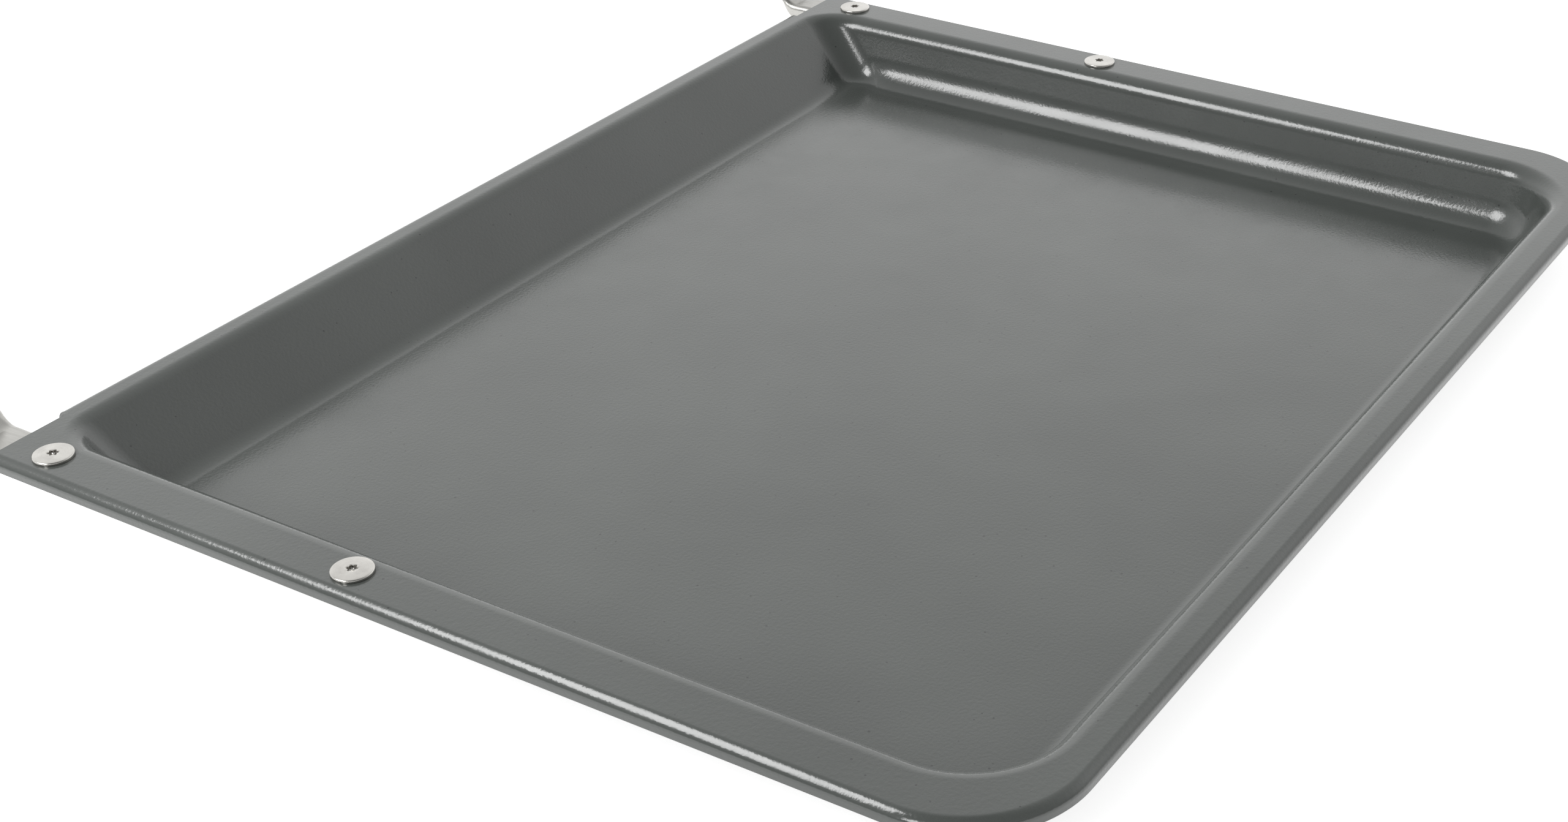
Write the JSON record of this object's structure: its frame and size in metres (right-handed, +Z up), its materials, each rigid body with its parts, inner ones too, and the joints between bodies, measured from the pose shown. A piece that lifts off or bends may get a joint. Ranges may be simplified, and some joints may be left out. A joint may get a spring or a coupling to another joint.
{
  "type": "oven tray",
  "caption": "Shallow rectangular enamelled steel oven tray with a turned-down rim, sloped walls and two upturned steel hook brackets screwed under the rear of its side flanges.",
  "frame": {"origin": "centre of the underside of the tray's floor, where it rests", "axes": "+X across the tray to the right, +Y from the plain front edge to the hooks at the rear, +Z up"},
  "size_m": [0.465, 0.3901, 0.0325],
  "materials": {
    "enamel": "glossy grey vitreous enamel",
    "bracket_steel": "satin zinc-plated sheet steel",
    "screw_steel": "polished steel",
    "nut_steel": "zinc-plated steel"
  },
  "bodies": {
    "root": {"pan": "enamel", "hook_bracket_left": "bracket_steel", "hook_bracket_right": "bracket_steel", "screw_left_rear": "screw_steel", "screw_left_front": "screw_steel", "screw_right_rear": "screw_steel", "screw_right_front": "screw_steel", "nut_left_rear": "nut_steel", "nut_left_front": "nut_steel", "nut_right_rear": "nut_steel", "nut_right_front": "nut_steel"}
  },
  "joints": []
}
